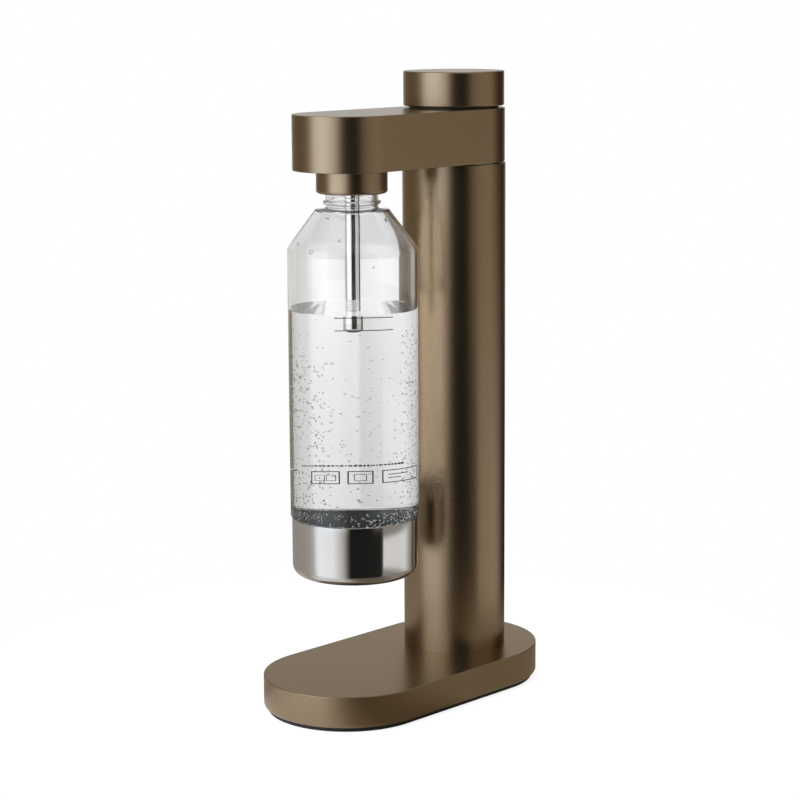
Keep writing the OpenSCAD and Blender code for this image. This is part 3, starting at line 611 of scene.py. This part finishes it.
def make_droplets(inner):
    """Drops of water on the wall above the water's top."""
    bm = bmesh.new()
    # Angle from the camera's side, height and half width, in degrees and millimetres
    for angle, height, size in (
        (-38, 329.5, 1.5),
        (-39, 309.0, 1.4),
        (-12, 316.0, 1.0),
        (58, 327.0, 1.3),
        (-63, 312.0, 1.1),
        (8, 322.0, 0.6),
        (20, 300.0, 0.6),
    ):
        z = height * MM
        place = around_bottle(angle, radius_at(inner, z) - DROP_SINK, z)
        add_ball(bm, place, (size * MM, size * MM, size * DROP_HIGH * MM), LARGE_BALL)
    obj = finish_mesh("droplets", bm, [WATER], smooth_angle=180)
    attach(obj, "bottle")


# Print on the bottle: where its ink begins and ends off the axis, the angle of its facets, how far
# it sags at the sides, and the thickness of its lines, upright in metres and sideways in degrees
INK_FROM, INK_TO = BODY_R + 0.01 * MM, BODY_R + 0.05 * MM
INK_FACET = 2
SAG_LEFT, SAG_RIGHT = 8.6 * MM, 3.5 * MM
LINE, LINE_ANGLE = 0.55 * MM, 1.3
FINE_LINE, FINE_ANGLE = 0.3 * MM, 0.7
# Heights and, in degrees from the camera's side, angles of the fill lines, the dashes and the boxes
FILL_LINES, FILL_LINES_FROM, FILL_LINES_TO = (268.3 * MM, 260.2 * MM), -15, 38
DASHES_Z, DASHES_FROM, DASHES_TO = 172.6 * MM, -52.0, 48
DASH_WIDTHS, DASH_GAP, DASH_HALVES = (1.2, 4.0), 1.0, (0.35, 0.6)
BOX_LOW, BOX_HIGH = 160.6 * MM, 169.1 * MM
BOXES = ((-40, -11.5), (-5, 18), (26, 76))


def print_drop(angle):
    """How far the print sags below a level ring towards the bottle's sides."""
    side = SAG_LEFT if angle < 0 else SAG_RIGHT
    return side * (1 - math.cos(math.radians(angle)))


def ink_patch(bm, angle0, angle1, z0, z1):
    """A thin printed patch on the outside of the bottle's body."""
    steps = max(1, math.ceil(abs(angle1 - angle0) / INK_FACET))
    profile = ((INK_FROM, z0), (INK_TO, z0), (INK_TO, z1), (INK_FROM, z1))
    sections = []
    for i in range(steps + 1):
        a = angle0 + (angle1 - angle0) * i / steps
        sections.append(
            [bm.verts.new(around_bottle(a, r, z - print_drop(a))) for r, z in profile]
        )
    bar(bm, sections)


def ink_frame(bm, angle0, angle1, z0, z1, line=LINE, side=LINE_ANGLE):
    """A printed outline box, with the thickness of its level and of its upright lines."""
    ink_patch(bm, angle0, angle1, z0, z0 + line)
    ink_patch(bm, angle0, angle1, z1 - line, z1)
    ink_patch(bm, angle0, angle0 + side, z0 + line, z1 - line)
    ink_patch(bm, angle1 - side, angle1, z0 + line, z1 - line)


def make_print():
    """Fill lines, a row of dashes and plain boxes on the bottle."""
    bm = bmesh.new()
    for z in FILL_LINES:
        ink_patch(bm, FILL_LINES_FROM, FILL_LINES_TO, z - LINE / 2, z + LINE / 2)
    draw = random.Random(3)
    angle = DASHES_FROM
    while angle < DASHES_TO:
        width = draw.uniform(*DASH_WIDTHS)
        half = draw.uniform(*DASH_HALVES) * MM
        ink_patch(bm, angle, angle + width, DASHES_Z - half, DASHES_Z + half)
        angle += width + DASH_GAP
    for start, end in BOXES:
        ink_frame(bm, start, end, BOX_LOW, BOX_HIGH)
    # What stands in the first box, the second and the third
    for start, end in ((-36, -25.5), (-24.5, -15)):
        low, high = BOX_LOW + 2.2 * MM, BOX_HIGH - 2.4 * MM
        ink_frame(bm, start, end, low, high, FINE_LINE, FINE_ANGLE)
    ink_patch(bm, -31.5, -30, BOX_LOW + 3.8 * MM, BOX_LOW + 4.6 * MM)
    ink_frame(bm, 1, 12, BOX_LOW + 2 * MM, BOX_HIGH - 2 * MM, 0.35 * MM, FINE_ANGLE)
    ink_patch(bm, 32, 56, BOX_LOW + 5.2 * MM, BOX_LOW + 5.7 * MM)
    ink_patch(bm, 32, 46, BOX_LOW + 3 * MM, BOX_LOW + 3.5 * MM)
    obj = finish_mesh("bottle_print", bm, [INK], smooth_angle=30)
    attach(obj, "bottle")


# Cup: the roundings of its foot, outside and inside, and of its rim, and the heights, up from the
# floor and down from the rim, that count as its underside with painted shade and its rim
CUP_ROUND, CUP_INNER_ROUND, CUP_RIM_ROUND = 7 * MM, 6.2 * MM, 0.35 * MM
SHADED_UNDER_HIGH, RIM_HIGH = 1.7 * MM, 0.2 * MM


def make_cup():
    """Polished steel cup with a rounded rim and foot, plainer inside, with painted shade
    underneath.
    """
    inner_r, inner_floor = CUP_R - CUP_WALL, CUP_FLOOR + CUP_WALL
    section = rounded(
        [
            (0, CUP_FLOOR, 0),
            (CUP_R, CUP_FLOOR, CUP_ROUND),
            (CUP_R, CUP_RIM, CUP_RIM_ROUND),
            (inner_r, CUP_RIM, CUP_RIM_ROUND),
            (inner_r, inner_floor, CUP_INNER_ROUND),
            (0, inner_floor, 0),
        ],
        steps=10,
    )
    rim = max(i for i, (r, z) in enumerate(section) if z > CUP_RIM - RIM_HIGH)
    shaded_under = max(i for i, (r, z) in enumerate(section[:rim]) if z < CUP_FLOOR + SHADED_UNDER_HIGH)

    # The lowest band gets the painted shade, the top band the plainer inside
    def slot_of(i):
        return 2 if i < shaded_under else int(i >= rim)

    bm = bmesh.new()
    revolve(bm, section, BOTTLE_AXIS, slot_of)
    mats = [MATERIALS["polished_steel"], CUP_INSIDE, CUP_PAINTED_SHADE]
    obj = finish_mesh("cup_steel", bm, mats)
    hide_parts("bottle_cup")
    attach(obj, "bottle")


def make_tube():
    """Carbonation tube, polished."""
    bm = bmesh.new()
    section = [
        (TUBE_BORE_R, tube_low.z),
        (TUBE_R, tube_low.z),
        (TUBE_R, tube_high.z),
        (TUBE_BORE_R, tube_high.z),
    ]
    revolve(bm, section, BOTTLE_AXIS, closed=True, segments=TUBE_SEGMENTS)
    tube = finish_mesh("tube_steel", bm, [TUBE_STEEL])
    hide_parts("carbonation_tube")
    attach(tube, "frame")


# Studio as metal sees it: angle from the camera's side, and the level there. One list is for
# directions below the horizon, one for those near it, one for those well above it.
LOW_STUDIO = [
    (-180, 0.35), (-150, 0.35), (-105, 0.4), (-91, 0.45), (-81, 0.6), (-74, 1.02), (-68, 1.15),
    (-40, 1.1), (-28, 0.8), (-19, 0.5), (-12, 0.14), (-7, 0.015), (45, 0.02), (51, 0.04),
    (55, 0.3), (90, 0.32), (105, 0.42), (122, 0.42), (130, 0.15), (142, 0.02), (166, 0.02),
    (180, 0.3),
]
HIGH_STUDIO = [
    (-180, 1.1), (-165, 0.8), (-150, 0.28), (-120, 0.2), (-88, 0.2), (-78, 0.6), (-70, 1.45),
    (-50, 1.7), (-35, 1.5), (-22, 1.15), (-14, 0.8), (-8, 0.06), (0, 0.005), (27, 0.005),
    (33, 0.12), (40, 0.42), (90, 0.4), (100, 0.3), (109, 0.08), (125, 0.03), (148, 0.06),
    (168, 0.8), (180, 1.1),
]
TOP_STUDIO = [
    (-180, 0.42), (-150, 0.34), (-120, 0.18), (-88, 0.2), (-78, 0.6), (-70, 1.45), (-50, 1.7),
    (-35, 1.5), (-22, 1.1), (-14, 0.75), (-8, 0.06), (0, 0.005), (27, 0.005), (33, 0.12),
    (40, 0.42), (90, 0.4), (100, 0.3), (109, 0.08), (125, 0.03), (145, 0.18), (165, 0.4),
    (180, 0.42),
]
# Studio as seen through the bottle, beside the white card behind it and on that card
BESIDE_CARD = [
    (-180, 0.76), (-167, 0.76), (-163, 0.82), (-149, 0.82), (-145, 0.75), (-125, 0.6),
    (-100, 0.6), (-86, 1.2), (-78, 1.6), (-35, 1.6), (-20, 1.2), (-12, 0.3), (-8, 0.03),
    (44, 0.03), (50, 0.8), (95, 0.8), (108, 0.5), (114, 0.1), (127, 0.1), (132, 0.6),
    (150, 0.72), (180, 0.76),
]
ON_CARD = [
    (-180, 0.92), (-176.2, 0.92), (-175.8, 0.78), (-167, 0.78), (-163, 0.82), (-149, 0.82),
    (-145, 0.76), (-125, 0.6), (-100, 0.6), (-86, 1.2), (-78, 1.6), (-35, 1.6), (-20, 1.2),
    (-12, 0.3), (-8, 0.03), (44, 0.03), (50, 0.8), (95, 0.8), (108, 0.5), (114, 0.1), (127, 0.1),
    (132, 0.6), (150, 0.76), (157, 0.78), (160, 0.9), (180, 0.92),
]
# The same from higher up, where nothing dark stands before the bottle
OPEN_STUDIO = [
    (-180, 0.92), (-145, 0.76), (-125, 0.6), (-100, 0.6), (-78, 0.9), (20, 0.85), (95, 0.8),
    (108, 0.5), (114, 0.1), (127, 0.1), (132, 0.6), (150, 0.76), (160, 0.9), (180, 0.92),
]
# Painted light and shadow on the floor as metal sees it: bright on the left, in shadow in front and
# on the right
PAINTED_FLOOR_LIGHT = [
    (-180, 0.28), (-135, 0.45), (-110, 0.55), (-95, 0.45), (-84, 0.4), (-74, 0.7), (-60, 0.85),
    (-30, 0.75), (-14, 0.28), (0, 0.16), (30, 0.17), (60, 0.32), (110, 0.32), (150, 0.25),
    (180, 0.35),
]
# Heights of a direction, from -1 to 1, over which one of these gives way to the next
LOW_TO_HIGH = (-0.19, -0.1)
HIGH_TO_TOP = (0.1, 0.22)
TOP_TO_CEILING = (0.45, 0.8)
CARD_TO_BESIDE = (-0.118, -0.112)
OPEN_TO_CARD = (-0.24, -0.2)
CEILING = (0.55, 0.58, 0.62, 1)
# A low pale card on the right, which the cup shows sharply: its level, and the angles and heights
# at which it begins, is full, begins to fade and ends
STRIP = (0.94, 0.93, 0.92, 1)
STRIP_ANGLES = (52, 56, 103, 122)
STRIP_HEIGHTS = (-0.31, -0.29, -0.21, -0.19)
# What lights dull surfaces, and what the camera sees
AROUND = (0.55, 0.55, 0.55, 1)
BACKGROUND = (1, 1, 1, 1)

# Levels of light: below the first it has no tint, and the tint is reckoned from the second
NEARLY_BLACK, BRIGHT = 0.03, 1.35
# Tint of red, green and blue: the factor at that second level, and the power of the level
TINT = ((1.0, 0.0), (1.1, 0.18), (1.25, 0.47))

# Floor: its radius in metres, its facets, its depth below the object, the parts of the radius over
# which it fades, its grey, and its glow towards the camera
FLOOR_R = 0.34
FLOOR_SEGMENTS = 96
FLOOR_DEPTH = 0.0002
FLOOR_FADE = (0.5, 0.97)
FLOOR_GREY = (0.2, 0.2, 0.2, 1)
FLOOR_GLOW = 0.84

# Lamps: name, place and width in metres, and watts
LAMPS = (
    ("key_lamp", TO_CAMERA * 0.75 - TO_RIGHT * 0.9 + Vector((0, 0, 1.1)), 0.9, 16),
    ("top_lamp", Vector((0, 0, 1.5)), 1.2, 14),
)
LAMP_TARGET = Vector((0, 0, 0.15))


def tinted(level, amount):
    """The colour of a level: dim light is warmer than bright light, unless it is nearly black."""
    if level < NEARLY_BLACK:
        return (level, level, level)
    tone = (factor * (level / BRIGHT) ** power for factor, power in TINT)
    return tuple(level * (1 + (t - 1) * amount) for t in tone)


def ramp_place(angle):
    """The place on a ramp, from 0 to 1, of an angle from the camera's side."""
    return (angle + 180) / 360


def studio_ramp(nodes, links, turn, cards, tint):
    """A studio's colour at a turn, with each card's level tinted by the given amount."""
    ramp = nodes.new("ShaderNodeValToRGB")
    elements = ramp.color_ramp.elements
    while len(elements) > 1:
        elements.remove(elements[-1])
    for i, (angle, level) in enumerate(cards):
        place = ramp_place(angle)
        element = elements[0] if i == 0 else elements.new(place)
        element.position = place
        element.color = (*tinted(level, tint), 1)
    links.new(turn, ramp.inputs["Fac"])
    return ramp.outputs["Color"]


def turn_of(nodes, links, vector):
    """A direction's turn about the upright axis, from 0 to 1 with 0.5 at the camera's side, and its
    height."""
    parts = []
    for axis in (TO_CAMERA, TO_RIGHT, Vector((0, 0, 1))):
        dot = nodes.new("ShaderNodeVectorMath")
        dot.operation = "DOT_PRODUCT"
        links.new(vector, dot.inputs[0])
        dot.inputs[1].default_value = axis
        parts.append(dot.outputs["Value"])
    angle = math_node(nodes, links, "ARCTAN2", parts[1], parts[0])
    return math_node(nodes, links, "MULTIPLY_ADD", angle, 1 / (2 * math.pi), 0.5), parts[2]


def feed(links, sockets, values):
    """Gives each socket its value: a number or colour is set, anything else is linked."""
    for socket, value in zip(sockets, values):
        if isinstance(value, (int, float, tuple)):
            socket.default_value = value
        else:
            links.new(value, socket)


def math_node(nodes, links, operation, *values):
    """The result of a sum on numbers or sockets."""
    node = nodes.new("ShaderNodeMath")
    node.operation = operation
    feed(links, node.inputs, values)
    return node.outputs["Value"]


def mix_node(nodes, links, factor, a, b):
    """Colour a where the factor is 0, and b where it is 1."""
    node = nodes.new("ShaderNodeMix")
    node.data_type = "RGBA"
    feed(links, [s for s in node.inputs if s.enabled], (factor, a, b))
    return next(s for s in node.outputs if s.enabled)


def mix_shader(nodes, links, factor, a, b):
    """Shader a where the factor is 0, and b where it is 1."""
    node = nodes.new("ShaderNodeMixShader")
    feed(links, node.inputs, (factor, a, b))
    return node.outputs[0]


def smooth_between(nodes, links, value, start, end):
    """Rises smoothly from 0 at the start to 1 at the end."""
    node = nodes.new("ShaderNodeMapRange")
    node.interpolation_type = "SMOOTHSTEP"
    node.inputs["From Min"].default_value = start
    node.inputs["From Max"].default_value = end
    links.new(value, node.inputs["Value"])
    return node.outputs["Result"]


def between(nodes, links, value, start, full, fading, end):
    """One from full to fading, and nothing before start or after end."""
    rise = smooth_between(nodes, links, value, start, full)
    fall = smooth_between(nodes, links, value, end, fading)
    return math_node(nodes, links, "MULTIPLY", rise, fall)


def make_world():
    """White for the camera, and for metal and glass a studio of pale cards and dark gaps."""
    world = bpy.data.worlds.new("studio")
    bpy.context.scene.world = world
    world.use_nodes = True
    nodes, links = world.node_tree.nodes, world.node_tree.links
    turn, height = turn_of(nodes, links, nodes.new("ShaderNodeTexCoord").outputs["Generated"])

    def ramp(cards, tint):
        return studio_ramp(nodes, links, turn, cards, tint)

    def blend(ends, below, above):
        return mix_node(nodes, links, smooth_between(nodes, links, height, *ends), below, above)

    strip = math_node(
        nodes,
        links,
        "MULTIPLY",
        between(nodes, links, turn, *(ramp_place(a) for a in STRIP_ANGLES)),
        between(nodes, links, height, *STRIP_HEIGHTS),
    )
    level = mix_node(nodes, links, strip, ramp(LOW_STUDIO, 0.5), STRIP)
    level = blend(LOW_TO_HIGH, level, ramp(HIGH_STUDIO, 1.0))
    level = blend(HIGH_TO_TOP, level, ramp(TOP_STUDIO, 1.0))
    level = blend(TOP_TO_CEILING, level, CEILING)
    through = blend(CARD_TO_BESIDE, ramp(ON_CARD, 0.0), ramp(BESIDE_CARD, 0.0))
    through = blend(OPEN_TO_CARD, ramp(OPEN_STUDIO, 0.0), through)
    paths = nodes.new("ShaderNodeLightPath").outputs
    for ray, colour in (
        ("Is Transmission Ray", through),
        ("Is Diffuse Ray", AROUND),
        ("Is Camera Ray", BACKGROUND),
    ):
        level = mix_node(nodes, links, paths[ray], level, colour)
    links.new(level, nodes["Background"].inputs["Color"])


def floor_material():
    """White with a faint shadow for the camera, and for metal a glow with painted light and shadow
    by angle. It fades out at the rim."""
    mat, nodes, links, bsdf = tree_of("pale_floor")
    bsdf.inputs["Base Color"].default_value = FLOOR_GREY
    bsdf.inputs["Roughness"].default_value = 0.9
    bsdf.inputs["Specular IOR Level"].default_value = 0.0
    place = nodes.new("ShaderNodeTexCoord").outputs["Object"]
    length = nodes.new("ShaderNodeVectorMath")
    length.operation = "LENGTH"
    links.new(place, length.inputs[0])
    ends = (FLOOR_R * part for part in FLOOR_FADE)
    far = smooth_between(nodes, links, length.outputs["Value"], *ends)
    white, glow, painted_floor_light = (nodes.new("ShaderNodeEmission") for _ in range(3))
    glow.inputs["Strength"].default_value = FLOOR_GLOW
    lit = nodes.new("ShaderNodeAddShader")
    links.new(glow.outputs[0], lit.inputs[0])
    links.new(bsdf.outputs[0], lit.inputs[1])
    seen = mix_shader(nodes, links, far, lit.outputs[0], white.outputs[0])
    # Painted light and shadow on the floor, seen only by metal: it glows by its angle from the
    # camera's side
    turn, _ = turn_of(nodes, links, place)
    links.new(studio_ramp(nodes, links, turn, PAINTED_FLOOR_LIGHT, 0.8), painted_floor_light.inputs["Color"])
    open_rim = nodes.new("ShaderNodeBsdfTransparent").outputs[0]
    in_metal = mix_shader(nodes, links, far, painted_floor_light.outputs[0], open_rim)
    in_rest = mix_shader(nodes, links, far, bsdf.outputs[0], open_rim)
    paths = nodes.new("ShaderNodeLightPath").outputs
    rest = mix_shader(nodes, links, paths["Is Glossy Ray"], in_rest, in_metal)
    direct = math_node(
        nodes, links, "MAXIMUM", paths["Is Camera Ray"], paths["Is Transmission Ray"]
    )
    surface = mix_shader(nodes, links, direct, rest, seen)
    links.new(surface, nodes["Material Output"].inputs["Surface"])
    return mat


def make_floor():
    """Pale round floor that fades into the white background and keeps a soft shadow."""
    bm = bmesh.new()
    bmesh.ops.create_circle(bm, cap_ends=True, segments=FLOOR_SEGMENTS, radius=FLOOR_R)
    obj = finish_mesh("floor", bm, [floor_material()])
    obj.location = (0, 0, -FLOOR_DEPTH)


def make_lamps():
    """A large soft lamp on the left and one overhead, unseen by camera, metal and glass."""
    for name, place, size, power in LAMPS:
        lamp = bpy.data.lights.new(name, "AREA")
        lamp.shape = "DISK"
        lamp.size = size
        lamp.energy = power
        obj = bpy.data.objects.new(name, lamp)
        bpy.context.scene.collection.objects.link(obj)
        obj.location = place
        obj.rotation_mode = "QUATERNION"
        obj.rotation_quaternion = (LAMP_TARGET - place).to_track_quat("-Z", "Y")
        obj.visible_camera = False
        obj.visible_glossy = False
        obj.visible_transmission = False


def make_camera():
    """The camera, turned by its azimuth, pitch and roll."""
    back = Vector(
        (
            math.sin(CAMERA_AZIMUTH) * math.cos(CAMERA_PITCH),
            -math.cos(CAMERA_AZIMUTH) * math.cos(CAMERA_PITCH),
            math.sin(CAMERA_PITCH),
        )
    )
    up = back.cross(TO_RIGHT)
    c, s = math.cos(CAMERA_ROLL), math.sin(CAMERA_ROLL)
    right, up = TO_RIGHT * c + up * s, up * c - TO_RIGHT * s
    data = bpy.data.cameras.new("camera")
    data.lens = CAMERA_LENS
    data.sensor_width = SENSOR_WIDTH
    data.shift_x = -HALF_PIXEL
    data.shift_y = HALF_PIXEL
    data.clip_start = NEAR_CLIP
    obj = bpy.data.objects.new("camera", data)
    bpy.context.scene.collection.objects.link(obj)
    axes = Matrix((right, up, back)).transposed().to_4x4()
    obj.matrix_world = Matrix.Translation(CAMERA_PLACE) @ axes
    bpy.context.scene.camera = obj


dress_nodes()
inner_section = make_bottle()
make_water(inner_section)
make_bubbles(inner_section)
make_droplets(inner_section)
make_print()
make_cup()
make_tube()
make_world()
make_floor()
make_lamps()
make_camera()

scene = bpy.context.scene
scene.view_settings.view_transform = "Standard"
scene.cycles.max_bounces = 24
scene.cycles.transmission_bounces = 24
scene.cycles.glossy_bounces = 8
scene.cycles.transparent_max_bounces = 16
